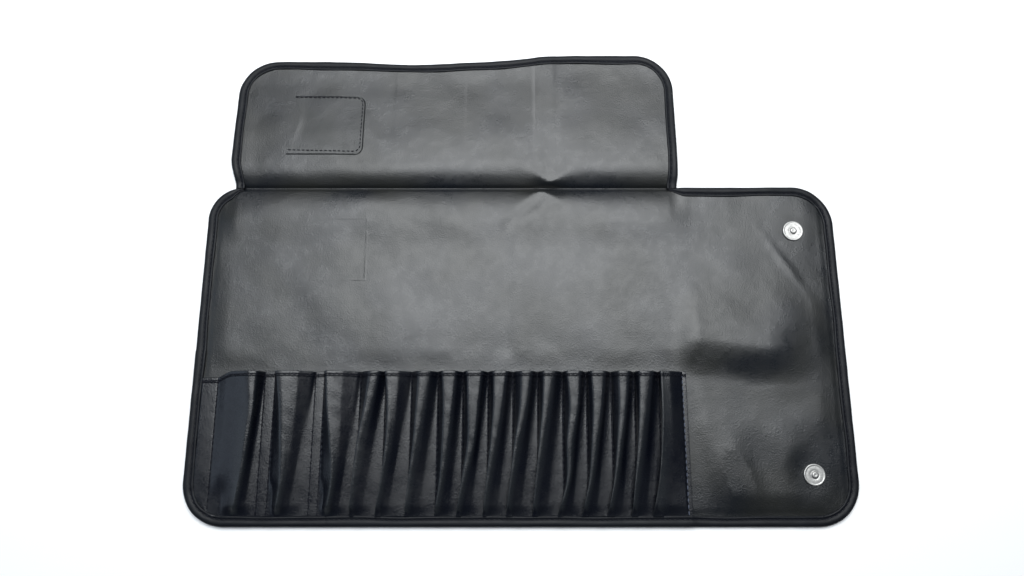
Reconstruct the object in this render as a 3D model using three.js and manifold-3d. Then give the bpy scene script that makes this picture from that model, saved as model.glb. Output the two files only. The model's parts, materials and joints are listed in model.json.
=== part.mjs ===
// Brush roll case: a flat leather case with a row of brush pockets, a fold-over flap
// and an end panel that wraps round the rolled case and snaps shut.
// Millimetres. X runs along the case, Y from its front edge to its back, Z up.
// The origin is the middle of the underside of the case lying open.

import * as THREE from 'three';
import { mergeVertices } from 'three/addons/utils/BufferGeometryUtils.js';
import Module from 'manifold-3d';

const wasm = await Module();
wasm.setup();

// ---------------------------------------------------------------- driving dimensions

const CASE_LENGTH = 560;
const CASE_DEPTH = 294;
const FLAP_DEPTH = 130;
const CORNER_RADIUS = 36;
const FOLD_CORNER_RADIUS = 30;

// Distances along the case are counted from its left edge.
const FLAP_START = 17.5;
const FLAP_END = 423;

// Where the case bends as it rolls up: on a line of stitching between two pockets.
const BEND_LINES = [66.3, 108.8, 165, 230.6, 294, 356.3, 425, 492];
const ROOT_PANEL = 7;
const FLAP_PANELS = 7;

// The stitch lines that bound each brush pocket.
const POCKET_STITCHES = [
  [22, 62], [70.6, 105], [112.6, 143.5], [143.5, 165],
  [165, 187], [187, 209.4], [209.4, 230.6],
  [230.6, 252], [252, 273], [273, 294],
  [294, 315], [315, 335.3], [335.3, 356.3],
  [356.3, 376], [376, 397], [397, 417.6],
];
const POCKET_DEPTH = 127;
const POCKET_PANEL_END = 421;
const POCKET_RISE_AT_MOUTH = 9.6;
const POCKET_RISE_AT_BOTTOM = 3.4;
const POCKET_LEATHER = 0.8;
const SEAM_ALLOWANCE = 1.4;

// Layers, counted up from the surface that the open case lies on.
const TAPE_UNDERSIDE = 0;
const TAPE_LOWER_INSIDE = 0.7;
const SHELL_BOTTOM = 1.0;
const SHELL_TOP = 1.9;
const LINING_BOTTOM = 2.2;
const LINING_TOP = 3.1;
const TAPE_UPPER_INSIDE = 3.4;
const TAPE_TOP = 4.2;

const TAPE_WIDTH = 9;
const TAPE_EDGE = 0.9;
const CLEARANCE = 0.3;
const BEND_GAP = 0.4;

const BEND_AXIS_HEIGHT = 3.8;
const FLAP_AXIS_HEIGHT = 4.4;
const BEND_ANGLE = 60;

const PATCH_START = 67;
const PATCH_END = 136.5;
const PATCH_FROM_FOLD = 31;
const PATCH_DEPTH = 62;
const PATCH_THICKNESS = 0.9;
const PATCH_RADIUS = 5;

const SNAP_RADIUS = 9;
const SNAP_FROM_END = 37;
const SNAP_FROM_EDGE = 41.5;
const SOCKET_FROM_START = 133.9;
const SOCKET_NECK_RADIUS = 6;
const SOCKET_BORE_RADIUS = 3.2;
const SOCKET_BORE_DEPTH = 1.6;
const STUD_FACE = 5.3;
const STUD_TIP = 6.9;
const STUD_TIP_RADIUS = 2.2;

// ---------------------------------------------------------------- derived places

const LEFT = -CASE_LENGTH / 2;
const RIGHT = CASE_LENGTH / 2;
const FRONT = -(CASE_DEPTH + FLAP_DEPTH) / 2;
const FOLD = FRONT + CASE_DEPTH;
const FAR = FOLD + FLAP_DEPTH;
const BEYOND = 50;
const PANEL_EDGES = [0, ...BEND_LINES, CASE_LENGTH];
const PANEL_COUNT = PANEL_EDGES.length - 1;

const alongCase = (distance) => LEFT + distance;
const fromFront = (distance) => FRONT + distance;
const panelName = (k) => (k <= ROOT_PANEL ? `panel_${k}` : `wrap_${k - ROOT_PANEL}`);

// ---------------------------------------------------------------- materials

const leather = (color, roughness) => new THREE.MeshStandardMaterial({ color, roughness, metalness: 0 });
const MATERIALS = {
  shell: leather(0x1b1d22, 0.5),
  lining: leather(0x3a3f40, 0.45),
  pocket: leather(0x2a2d33, 0.4),
  tape: leather(0x17181d, 0.6),
  patch: leather(0x33383a, 0.45),
  snap: new THREE.MeshStandardMaterial({ color: 0xd9dadb, roughness: 0.3, metalness: 1 }),
};

// ---------------------------------------------------------------- solids

function toSolid(geometry) {
  const bare = geometry.index ? geometry.toNonIndexed() : geometry.clone();
  bare.deleteAttribute('normal');
  bare.deleteAttribute('uv');
  const merged = mergeVertices(bare, 1e-4);
  return new wasm.Manifold(new wasm.Mesh({
    numProp: 3,
    vertProperties: new Float32Array(merged.attributes.position.array),
    triVerts: new Uint32Array(merged.index.array),
  }));
}

function toGeometry(solid) {
  const { vertProperties, triVerts } = solid.getMesh();
  const geometry = new THREE.BufferGeometry();
  geometry.setAttribute('position', new THREE.BufferAttribute(vertProperties, 3));
  geometry.setIndex(new THREE.BufferAttribute(triVerts, 1));
  geometry.computeVertexNormals();
  return geometry;
}

function slab(shape, bottom, top) {
  const geometry = new THREE.ExtrudeGeometry(shape, {
    depth: top - bottom,
    bevelEnabled: false,
    curveSegments: 10,
  });
  geometry.translate(0, 0, bottom);
  return toSolid(geometry);
}

function block(x0, x1, y0, y1, z0, z1) {
  const geometry = new THREE.BoxGeometry(x1 - x0, y1 - y0, z1 - z0);
  geometry.translate((x0 + x1) / 2, (y0 + y1) / 2, (z0 + z1) / 2);
  return toSolid(geometry);
}

// A lathe profile is a list of [radius, height] that starts and ends on the axis.
function turned(profile, x, y) {
  const points = profile.map(([radius, height]) => new THREE.Vector2(radius, height));
  const geometry = new THREE.LatheGeometry(points, 28);
  geometry.rotateX(Math.PI / 2);
  geometry.translate(x, y, 0);
  return toSolid(geometry);
}

// ---------------------------------------------------------------- outlines

// The flat outline of the case, drawn in by an inset all round.
function caseOutline(inset) {
  const r = CORNER_RADIUS - inset;
  const rFold = FOLD_CORNER_RADIUS - inset;
  const x0 = LEFT + inset;
  const x1 = RIGHT - inset;
  const y0 = FRONT + inset;
  const y1 = FOLD - inset;
  const shape = new THREE.Shape();
  shape.moveTo(x0 + r, y0);
  shape.lineTo(x1 - r, y0);
  shape.absarc(x1 - r, y0 + r, r, -Math.PI / 2, 0, false);
  shape.lineTo(x1, y1 - r);
  shape.absarc(x1 - r, y1 - r, r, 0, Math.PI / 2, false);
  shape.lineTo(x0 + rFold, y1);
  shape.absarc(x0 + rFold, y1 - rFold, rFold, Math.PI / 2, Math.PI, false);
  shape.lineTo(x0, y0 + r);
  shape.absarc(x0 + r, y0 + r, r, Math.PI, Math.PI * 1.5, false);
  return shape;
}

// The flap's outline. Its near edge, on the fold, is square and set by hand.
function flapOutline(inset, nearEdge) {
  const r = CORNER_RADIUS - inset;
  const x0 = alongCase(FLAP_START) + inset;
  const x1 = alongCase(FLAP_END) - inset;
  const y1 = FAR - inset;
  const shape = new THREE.Shape();
  shape.moveTo(x0, nearEdge);
  shape.lineTo(x1, nearEdge);
  shape.lineTo(x1, y1 - r);
  shape.absarc(x1 - r, y1 - r, r, 0, Math.PI / 2, false);
  shape.lineTo(x0 + r, y1);
  shape.absarc(x0 + r, y1 - r, r, Math.PI / 2, Math.PI, false);
  return shape;
}

function roundedPatch() {
  const x0 = alongCase(PATCH_START);
  const x1 = alongCase(PATCH_END);
  const y0 = FOLD + PATCH_FROM_FOLD;
  const y1 = y0 + PATCH_DEPTH;
  const r = PATCH_RADIUS;
  const shape = new THREE.Shape();
  shape.moveTo(x0, y0);
  shape.lineTo(x1 - r, y0);
  shape.absarc(x1 - r, y0 + r, r, -Math.PI / 2, 0, false);
  shape.lineTo(x1, y1 - r);
  shape.absarc(x1 - r, y1 - r, r, 0, Math.PI / 2, false);
  shape.lineTo(x0, y1);
  return shape;
}

// ---------------------------------------------------------------- cuts between panels

// The straight-sided slice of the case that panel k covers, with room left to bend.
function caseSlice(k) {
  const start = k === 1 ? -BEYOND : PANEL_EDGES[k - 1] + BEND_GAP;
  const end = k === PANEL_COUNT ? CASE_LENGTH + BEYOND : PANEL_EDGES[k] - BEND_GAP;
  return block(alongCase(start), alongCase(end), FRONT - BEYOND, FAR + BEYOND, -BEYOND, BEYOND);
}

// The flap's slice has sloping ends. Folded over, the flap lies on the inside of each
// bend, so its ends draw back by half the bend angle for their height above the axis.
function flapSlice(k) {
  const slope = Math.tan(THREE.MathUtils.degToRad(BEND_ANGLE / 2));
  const foldedHeight = (z) => 2 * FLAP_AXIS_HEIGHT - z - BEND_AXIS_HEIGHT;
  const setback = (z) => CLEARANCE + slope * Math.max(foldedHeight(z), 0);
  const bottom = -1;
  const top = TAPE_TOP + CLEARANCE;
  const endAt = (edge, side, z) => alongCase(edge) - side * setback(z);
  const startFree = k === 1;
  const endFree = k === FLAP_PANELS;
  const x0 = (z) => (startFree ? LEFT - BEYOND : endAt(PANEL_EDGES[k - 1], -1, z));
  const x1 = (z) => (endFree ? RIGHT + BEYOND : endAt(PANEL_EDGES[k], 1, z));
  const section = new THREE.Shape();
  section.moveTo(x0(bottom), bottom);
  section.lineTo(x1(bottom), bottom);
  section.lineTo(x1(top), top);
  section.lineTo(x0(top), top);
  const geometry = new THREE.ExtrudeGeometry(section, { depth: 2 * BEYOND + FLAP_DEPTH, bevelEnabled: false });
  geometry.rotateX(Math.PI / 2);
  geometry.translate(0, FAR + BEYOND, 0);
  return toSolid(geometry);
}

// ---------------------------------------------------------------- layers of the case

// A leather layer stops inside the edge tape, but runs right up to the fold.
function caseLayer(bottom, top) {
  const inset = TAPE_EDGE + CLEARANCE;
  const sheet = slab(caseOutline(inset), bottom, top);
  const reach = block(
    alongCase(FLAP_START) + inset, alongCase(FLAP_END),
    FOLD - CORNER_RADIUS, FOLD - CLEARANCE, bottom, top,
  );
  return sheet.add(reach);
}

// Edge tape is a channel: two legs joined round the outside of the leather.
function caseTape() {
  const outside = slab(caseOutline(0), TAPE_UNDERSIDE, TAPE_TOP);
  const channel = slab(caseOutline(TAPE_EDGE), TAPE_LOWER_INSIDE, TAPE_UPPER_INSIDE);
  const window = slab(caseOutline(TAPE_WIDTH), -BEYOND, BEYOND);
  const foldOpening = block(
    alongCase(FLAP_START) - CLEARANCE, alongCase(BEND_LINES[ROOT_PANEL - 1]) + BEND_GAP,
    FOLD - TAPE_WIDTH - CLEARANCE, FOLD + BEYOND, -BEYOND, BEYOND,
  );
  return outside.subtract(channel).subtract(window).subtract(foldOpening);
}

function flapTape() {
  const near = FOLD + CLEARANCE;
  const open = FOLD - BEYOND;
  const outside = slab(flapOutline(0, near), TAPE_UNDERSIDE, TAPE_TOP);
  const channel = slab(flapOutline(TAPE_EDGE, open), TAPE_LOWER_INSIDE, TAPE_UPPER_INSIDE);
  const window = slab(flapOutline(TAPE_WIDTH, open), -BEYOND, BEYOND);
  return outside.subtract(channel).subtract(window);
}

// The flap's two leathers are glued together, so they are one layer here.
function flapLeather() {
  return slab(flapOutline(TAPE_EDGE + CLEARANCE, FOLD + CLEARANCE), SHELL_BOTTOM, LINING_TOP);
}

// ---------------------------------------------------------------- pockets

const POCKET_FLOOR = LINING_TOP + CLEARANCE;
const POCKET_CLOSED_END = TAPE_WIDTH + 7;
const POCKET_ARCH_STEPS = 6;

const pocketRise = (y) => {
  const t = (y - TAPE_WIDTH) / (POCKET_DEPTH - TAPE_WIDTH);
  return THREE.MathUtils.lerp(POCKET_RISE_AT_BOTTOM, POCKET_RISE_AT_MOUTH, t);
};

// Height of an arch of the given rise over the span from a to b, flat outside it.
function arch(x, a, b, rise) {
  const t = (x - a) / (b - a);
  return t > 0 && t < 1 ? rise * Math.sin(Math.PI * t) : 0;
}

// One run of the pocket leather: flat where it is sewn down, arched over each pocket.
function pocketBank(k) {
  const start = k === 1 ? TAPE_WIDTH - 1 : PANEL_EDGES[k - 1] + BEND_GAP;
  const end = k === ROOT_PANEL ? POCKET_PANEL_END : PANEL_EDGES[k] - BEND_GAP;
  const pockets = POCKET_STITCHES
    .filter(([a, b]) => a >= PANEL_EDGES[k - 1] && b <= PANEL_EDGES[k])
    .map(([a, b]) => [a + SEAM_ALLOWANCE, b - SEAM_ALLOWANCE]);
  const innerSpan = ([a, b]) => [a + 2 * POCKET_LEATHER, b - 2 * POCKET_LEATHER];

  const columns = [start];
  for (const pocket of pockets) {
    const [a, b] = innerSpan(pocket);
    columns.push(pocket[0]);
    for (let i = 0; i <= POCKET_ARCH_STEPS; i += 1) {
      columns.push(THREE.MathUtils.lerp(a, b, i / POCKET_ARCH_STEPS));
    }
    columns.push(pocket[1]);
  }
  columns.push(end);

  const rows = [
    { y: TAPE_WIDTH - 1, closed: true },
    { y: POCKET_CLOSED_END, closed: true },
    { y: POCKET_CLOSED_END + 3, closed: false },
    { y: POCKET_DEPTH, closed: false },
  ];
  const sumOver = (x, rise, span) => pockets.reduce((sum, p) => sum + arch(x, ...span(p), rise), 0);
  const topAt = (x, row) => POCKET_FLOOR + POCKET_LEATHER + sumOver(x, pocketRise(row.y), (p) => p);
  const undersideAt = (x, row) => POCKET_FLOOR + (row.closed ? 0 : sumOver(x, pocketRise(row.y), innerSpan));
  const trim = slab(caseOutline(TAPE_WIDTH + CLEARANCE), -BEYOND, BEYOND);
  return sheetSolid(columns, rows, topAt, undersideAt).intersect(trim);
}

// A closed solid between two height fields on one grid of columns and rows.
function sheetSolid(columns, rows, topAt, undersideAt) {
  const positions = [];
  const layer = (heightAt) => {
    const base = positions.length / 3;
    for (const row of rows) {
      for (const x of columns) positions.push(alongCase(x), fromFront(row.y), heightAt(x, row));
    }
    return (i, j) => base + j * columns.length + i;
  };
  const top = layer(topAt);
  const under = layer(undersideAt);
  const index = [];
  const quad = (a, b, c, d) => index.push(a, b, c, a, c, d);
  const lastColumn = columns.length - 1;
  const lastRow = rows.length - 1;
  for (let j = 0; j < lastRow; j += 1) {
    for (let i = 0; i < lastColumn; i += 1) {
      quad(top(i, j), top(i + 1, j), top(i + 1, j + 1), top(i, j + 1));
      quad(under(i, j), under(i, j + 1), under(i + 1, j + 1), under(i + 1, j));
    }
    quad(top(0, j), top(0, j + 1), under(0, j + 1), under(0, j));
    quad(top(lastColumn, j), under(lastColumn, j), under(lastColumn, j + 1), top(lastColumn, j + 1));
  }
  for (let i = 0; i < lastColumn; i += 1) {
    quad(top(i, 0), under(i, 0), under(i + 1, 0), top(i + 1, 0));
    quad(top(i, lastRow), top(i + 1, lastRow), under(i + 1, lastRow), under(i, lastRow));
  }
  const geometry = new THREE.BufferGeometry();
  geometry.setAttribute('position', new THREE.BufferAttribute(new Float32Array(positions), 3));
  geometry.setIndex(index);
  return toSolid(geometry);
}

// ---------------------------------------------------------------- snaps

// The stud: a plate in a raised rim, with the nub that finds the socket.
function snapStud(x, y) {
  const base = LINING_TOP + CLEARANCE;
  const plate = STUD_FACE - 0.6;
  return turned([
    [0, base], [SNAP_RADIUS, base], [SNAP_RADIUS, STUD_FACE - 0.4], [SNAP_RADIUS - 0.5, STUD_FACE],
    [SNAP_RADIUS - 1.8, STUD_FACE], [SNAP_RADIUS - 2.4, plate], [STUD_TIP_RADIUS + 1.6, plate],
    [STUD_TIP_RADIUS + 1.2, STUD_FACE], [STUD_TIP_RADIUS, STUD_FACE],
    [STUD_TIP_RADIUS - 0.4, STUD_TIP], [0, STUD_TIP],
  ], x, y);
}

// The socket: a flange under the shell leather and a neck through it, bored from below.
function snapSocket(x, y) {
  return turned([
    [0, SOCKET_BORE_DEPTH], [SOCKET_BORE_RADIUS, SOCKET_BORE_DEPTH], [SOCKET_BORE_RADIUS, 0],
    [SNAP_RADIUS - 0.4, 0], [SNAP_RADIUS, 0.3], [SNAP_RADIUS, SHELL_BOTTOM - CLEARANCE],
    [SOCKET_NECK_RADIUS, SHELL_BOTTOM - CLEARANCE], [SOCKET_NECK_RADIUS, SHELL_TOP], [0, SHELL_TOP],
  ], x, y);
}

const SNAP_ROWS = {
  front: fromFront(SNAP_FROM_EDGE),
  back: FOLD - SNAP_FROM_EDGE,
};

function socketHoles() {
  const hole = (y) => turned([
    [0, 0], [SOCKET_NECK_RADIUS + CLEARANCE, 0],
    [SOCKET_NECK_RADIUS + CLEARANCE, LINING_BOTTOM], [0, LINING_BOTTOM],
  ], alongCase(SOCKET_FROM_START), y);
  return hole(SNAP_ROWS.front).add(hole(SNAP_ROWS.back));
}

// ---------------------------------------------------------------- assembly

const brushRoll = new THREE.Group();

function add(name, solid, material) {
  const mesh = new THREE.Mesh(toGeometry(solid), material);
  mesh.name = name;
  brushRoll.add(mesh);
}

const shell = caseLayer(SHELL_BOTTOM, SHELL_TOP).subtract(socketHoles());
const lining = caseLayer(LINING_BOTTOM, LINING_TOP);
const tape = caseTape();
const frontHalf = block(LEFT - BEYOND, RIGHT + BEYOND, FRONT - BEYOND, 0, -BEYOND, BEYOND);

for (let k = 1; k <= PANEL_COUNT; k += 1) {
  const slice = caseSlice(k);
  const name = panelName(k);
  add(`outer_shell_${name}`, shell.intersect(slice), MATERIALS.shell);
  add(`lining_${name}`, lining.intersect(slice), MATERIALS.lining);
  const tapePiece = tape.intersect(slice);
  if (name === 'wrap_1') {
    add(`edge_tape_front_${name}`, tapePiece.intersect(frontHalf), MATERIALS.tape);
    add(`edge_tape_back_${name}`, tapePiece.subtract(frontHalf), MATERIALS.tape);
  } else {
    add(`edge_tape_${name}`, tapePiece, MATERIALS.tape);
  }
}

for (let k = 1; k <= ROOT_PANEL; k += 1) {
  add(`brush_pockets_${k}`, pocketBank(k), MATERIALS.pocket);
}

const flapSheet = flapLeather();
const flapEdge = flapTape();
for (let k = 1; k <= FLAP_PANELS; k += 1) {
  const slice = flapSlice(k);
  add(`flap_leather_${k}`, flapSheet.intersect(slice), MATERIALS.lining);
  add(`flap_edge_tape_${k}`, flapEdge.intersect(slice), MATERIALS.tape);
}

const patchBottom = LINING_TOP + CLEARANCE;
const patch = slab(roundedPatch(), patchBottom, patchBottom + PATCH_THICKNESS);
add('flap_patch_left', patch.intersect(flapSlice(2)), MATERIALS.patch);
add('flap_patch_right', patch.intersect(flapSlice(3)), MATERIALS.patch);

for (const [place, y] of Object.entries(SNAP_ROWS)) {
  add(`snap_stud_${place}`, snapStud(alongCase(CASE_LENGTH - SNAP_FROM_END), y), MATERIALS.snap);
  add(`snap_socket_${place}`, snapSocket(alongCase(SOCKET_FROM_START), y), MATERIALS.snap);
}

export default brushRoll;
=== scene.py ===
"""Brush roll case: the finished visual model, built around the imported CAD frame.

Lengths in this file are millimetres, in the CAD frame, until a mesh is made.
X runs along the case, Y from its front edge to the far edge of the flap, Z up.
"""

import json
import math

import bpy
import numpy as np
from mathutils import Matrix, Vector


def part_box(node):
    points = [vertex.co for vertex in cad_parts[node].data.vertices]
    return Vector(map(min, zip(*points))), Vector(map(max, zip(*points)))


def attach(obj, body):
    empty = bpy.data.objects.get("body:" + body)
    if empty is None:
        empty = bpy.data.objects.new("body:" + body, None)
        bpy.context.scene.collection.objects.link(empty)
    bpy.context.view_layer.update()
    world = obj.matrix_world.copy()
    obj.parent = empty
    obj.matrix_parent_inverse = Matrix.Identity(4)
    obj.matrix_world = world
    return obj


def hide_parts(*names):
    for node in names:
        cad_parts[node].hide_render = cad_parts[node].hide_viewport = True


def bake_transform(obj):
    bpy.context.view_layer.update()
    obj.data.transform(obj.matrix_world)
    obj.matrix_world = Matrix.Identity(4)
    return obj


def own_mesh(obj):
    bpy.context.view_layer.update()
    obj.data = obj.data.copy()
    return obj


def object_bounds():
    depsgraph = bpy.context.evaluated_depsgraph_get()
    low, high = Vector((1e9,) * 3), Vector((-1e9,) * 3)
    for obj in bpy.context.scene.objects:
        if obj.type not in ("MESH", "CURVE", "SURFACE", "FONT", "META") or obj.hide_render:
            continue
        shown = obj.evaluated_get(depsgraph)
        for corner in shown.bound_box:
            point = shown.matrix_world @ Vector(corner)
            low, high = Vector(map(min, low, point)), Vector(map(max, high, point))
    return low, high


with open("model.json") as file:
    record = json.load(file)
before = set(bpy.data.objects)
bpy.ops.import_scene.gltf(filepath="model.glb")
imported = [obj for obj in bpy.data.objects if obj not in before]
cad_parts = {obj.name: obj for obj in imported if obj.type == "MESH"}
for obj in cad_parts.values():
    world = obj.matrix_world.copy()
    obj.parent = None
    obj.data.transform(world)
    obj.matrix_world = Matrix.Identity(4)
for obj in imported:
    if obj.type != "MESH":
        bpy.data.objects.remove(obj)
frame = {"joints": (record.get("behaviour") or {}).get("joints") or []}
CAD_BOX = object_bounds()

# ---- places from the frame

MM = 0.001
JOINTS = {joint["name"]: joint for joint in frame["joints"]}
LEFT, FRONT = CAD_BOX[0].x / MM, CAD_BOX[0].y / MM
RIGHT, FAR = CAD_BOX[1].x / MM, CAD_BOX[1].y / MM
FOLD = JOINTS["flap_fold"]["pos_m"][1] / MM
BENDS = sorted(j["pos_m"][0] / MM for j in frame["joints"] if not j["name"].startswith("flap"))
PANEL_EDGES = [LEFT, *BENDS, RIGHT]
BODIES = [f"panel_{k}" for k in range(1, 8)] + ["wrap_1", "wrap_2"]
MIDDLES = [(a + b) / 2 for a, b in zip(PANEL_EDGES, PANEL_EDGES[1:])]
FLAP_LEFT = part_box("flap_edge_tape_1")[0].x / MM
FLAP_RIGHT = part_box("flap_edge_tape_7")[1].x / MM
LINING_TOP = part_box("lining_panel_4")[1].z / MM
SHELL_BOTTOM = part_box("outer_shell_panel_4")[0].z / MM
SHELL_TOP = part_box("outer_shell_panel_4")[1].z / MM
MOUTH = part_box("brush_pockets_4")[1].y / MM
PATCH_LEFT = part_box("flap_patch_left")[0].x / MM
PATCH_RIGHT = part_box("flap_patch_right")[1].x / MM
PATCH_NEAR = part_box("flap_patch_left")[0].y / MM
PATCH_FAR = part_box("flap_patch_left")[1].y / MM

SNAP_RADIUS = 9
STUD_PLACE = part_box("snap_stud_front")[1].x / MM - SNAP_RADIUS - LEFT
STUD_ROWS = [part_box(f"snap_stud_{place}")[1].y / MM - SNAP_RADIUS for place in ("front", "back")]

# ---- driving dimensions

# The lining's height over its CAD place round a stud.
STUD_RELIEF = 0.8
CORNER = 36
FOLD_CORNER = 30
TAPE_WIDTH = 8.8
# How far in from the case's outline the leathers end, inside the edge tape.
LAYER_INSET = 1.6
LINING_THICKNESS = 0.9
POCKET_THICKNESS = 0.8
PATCH_THICKNESS = 0.75
PATCH_CORNER = 8
# Lining and shell together, as in the flap.
BOTH_THICKNESS = 2.1
# The lowest that a leather's underside may come.
TABLE_GAP = 0.06
# The narrowest pocket leather that is handed to declare_sheet.
SMALLEST_SHEET = 10
SEAM_PITCH = 5.1
FINE_PITCH = 4.1
STITCH_SHARE = 0.68
STITCH_RADIUS = 0.46

# How far the fabric turns before and after each bend line as the case rolls up.
BEND_ZONES = [(3.8, 3.8), (3.8, 3.8)] + [(10, 10)] * 4 + [(4, 14), (10, 10)]
FOLD_ZONE = 4.5
# Where the leather of the crease, between body and flap, starts, stops and ends on the right.
CREASE_FRONT = FOLD - 6
CREASE_BACK = FOLD + FOLD_ZONE
CREASE_RIGHT = FLAP_RIGHT - 3.4
# Height of the leather at the fold, how far the flap rises behind it, and over what length.
FOLD_FLOOR = 1.1
FLAP_LIFT = 4.8
FLAP_RISE_LENGTH = 25
# The most that the lining may rise where the shut flap lies on it.
MOST_RELIEF = 2.8
# Where the fold is pinched up, from the case's left edge, and how wide that is.
PINCH = 307
PINCH_WIDTH = 15

POCKET_START = 8.2
POCKET_END = 421
POCKET_BASE = LINING_TOP + POCKET_THICKNESS
POCKET_HEIGHT = 9.0
POCKET_TAIL = FRONT + 8
POCKET_LENGTH = MOUTH - POCKET_TAIL
HEM_DEPTH = 4.0
HEM_STITCH = 3.2

# One row for each pocket, in distances from the case's left edge: its two stitch lines,
# its crest at the mouth, at each quarter of its length and at the front seam, how wide
# the crest is to each side at the mouth, and how far its fold reaches at the front seam.
# They are measured places, not worked out from the dimensions above.
POCKETS = [
    (22, 62, (51.5, 53.7, 51.6, 48.9, 43.9), 4.2, 9.5),
    (70.6, 105, (78.2, 81.1, 82.4, 82.9, 79.2), 5.0, 9.5),
    (112.6, 143.5, (117.1, 118.9, 122.5, 124.5, 120), 2.2, 9.5),
    (143.5, 165, (155.4, 150.8, 145, 141.6, 138.6), 3.6, 11),
    (165, 187, (167.6, 169.3, 168.5, 164.9, 159.5), 2.6, 11),
    (187, 209.4, (197.1, 194.5, 191.8, 188, 184), 3.8, 12.5),
    (209.4, 230.6, (218.5, 218.3, 216.7, 214, 208.5), 5.2, 12.5),
    (230.6, 252, (240.3, 239.6, 238.3, 232.2, 226.1), 6.2, 12.5),
    (252, 273, (262, 260.3, 256.7, 252.3, 247.9), 5.2, 12.5),
    (273, 294, (284.3, 281.8, 276.1, 271.5, 267), 3.8, 12.5),
    (294, 315, (302.7, 300.4, 296.4, 292.5, 288.7), 3.6, 12.5),
    (315, 335.3, (324, 324.6, 320.3, 318.8, 309.2), 5.4, 12.5),
    (335.3, 356.3, (344.5, 344.1, 341, 337, 329.1), 5.2, 12.5),
    (356.3, 376, (366.5, 365.3, 361.7, 357.3, 350), 4.2, 12.5),
    (376, 397, (384.5, 382.1, 378.8, 374.4, 370), 4.6, 12.5),
    (397, 417.6, (398.3, 398.4, 397, 393.5, 387.2), 0.7, 30),
]
# The flat strips of the pocket panel, between stitch lines or at its two ends.
POCKET_STRIPS = [(POCKET_START, 22), (62, 70.6), (105, 112.6), (417.6, POCKET_END)]

# ---- small tools


def along(s):
    """The x of a distance from the case's left edge."""
    return LEFT + s


def smooth(t):
    t = np.clip(t, 0.0, 1.0)
    return t * t * (3 - 2 * t)


def lerp(a, b, t):
    return a + (b - a) * t


def bell(t):
    return np.exp(-t * t)


def ripple(x, y, length, seed):
    """A gentle uneven wave between -1 and 1 with about that wavelength."""
    k = 2 * math.pi / length
    a = np.sin(k * x * 0.93 + 1.7 * seed + 0.8 * np.sin(k * y * 0.61 + seed))
    b = np.sin(k * y * 1.07 - 2.3 * seed + 0.9 * np.sin(k * x * 0.57 - seed))
    c = np.sin(k * (x * 0.71 + y * 0.78) + 0.9 * seed)
    return (a + b + c) / 3


def unit(v):
    return v / np.maximum(np.linalg.norm(v, axis=-1, keepdims=True), 1e-9)


def grid_between(start, end, places, shares):
    """Values at each share from start to end, and the places, as two grids of that shape."""
    values = lerp(start[:, None], end[:, None], shares[None, :])
    return values, np.repeat(places[:, None], len(shares), axis=1)


def steps(a, b, size):
    """Evenly spaced values from a to b, at most that far apart."""
    return np.linspace(a, b, max(2, int(math.ceil(abs(b - a) / size)) + 1))


def lengths_along(path):
    """How far along a polyline each of its points lies."""
    return np.concatenate([[0], np.cumsum(np.linalg.norm(np.diff(path, axis=0), axis=1))])


def at_reach(path, reach, at):
    """Points of a polyline at those distances along it."""
    return np.stack([np.interp(at, reach, column) for column in path.T], -1)


def upright(count):
    return np.tile([0.0, 0.0, 1.0], (count, 1))


# ---- meshes


def add_object(name, data):
    thing = bpy.data.objects.new(name, data)
    bpy.context.scene.collection.objects.link(thing)
    return thing


def make_mesh(name, points, faces, material, normals=None, painted_highlight_share=None):
    mesh = bpy.data.meshes.new(name)
    mesh.from_pydata((points * MM).tolist(), [], faces)
    mesh.polygons.foreach_set("use_smooth", [True] * len(mesh.polygons))
    # The painted highlight share of each point, which the leather material reads.
    if painted_highlight_share is not None:
        attribute = mesh.attributes.new("painted_highlight_share", "FLOAT", "POINT")
        attribute.data.foreach_set("value", np.asarray(painted_highlight_share, np.float32))
    if normals is not None:
        mesh.normals_split_custom_set_from_vertices(normals.tolist())
    mesh.materials.append(material)
    return add_object(name, mesh)


def is_inside_out(points, quads, count, size):
    """Whether a closed tube's faces look inward, from the volume that they enclose."""
    points = points - points.mean(axis=0)
    a, b, c, d = (points[quads[:, i]] for i in range(4))
    volume = (a * np.cross(b, c)).sum() + (a * np.cross(c, d)).sum()
    for first, sign in ((0, -1), ((count - 1) * size, 1)):
        rim = points[first:first + size]
        middle = rim.mean(axis=0)
        volume += sign * (middle * np.cross(rim, np.roll(rim, -1, axis=0))).sum()
    return volume < 0


def tube(name, rings, material, normals=None, painted_highlight_share=None):
    """A closed solid skinned over rings of points. rings has the shape (ring, point, 3)."""
    count, size, _ = rings.shape
    points = rings.reshape(-1, 3)
    i = np.arange(count - 1)[:, None] * size
    j = np.arange(size)[None, :]
    k = (j + 1) % size
    quads = np.stack([i + j, i + k, i + size + k, i + size + j], -1).reshape(-1, 4)
    caps = [list(range(size))[::-1], list(range((count - 1) * size, count * size))]
    if is_inside_out(points, quads, count, size):
        quads = quads[:, ::-1]
        caps = [cap[::-1] for cap in caps]
    flat_normals = None if normals is None else normals.reshape(-1, 3)
    return make_mesh(name, points, quads.tolist() + caps, material, flat_normals, painted_highlight_share)


def slope_normals(height, x, y, side):
    """Normals of a height over x and y, up for side 1 and down for side -1."""
    step = 0.3
    dx = (height(x + step, y) - height(x - step, y)) / (2 * step)
    dy = (height(x, y + step) - height(x, y - step)) / (2 * step)
    return unit(np.stack([-dx, -dy, np.ones_like(x)], -1)) * side


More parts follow.
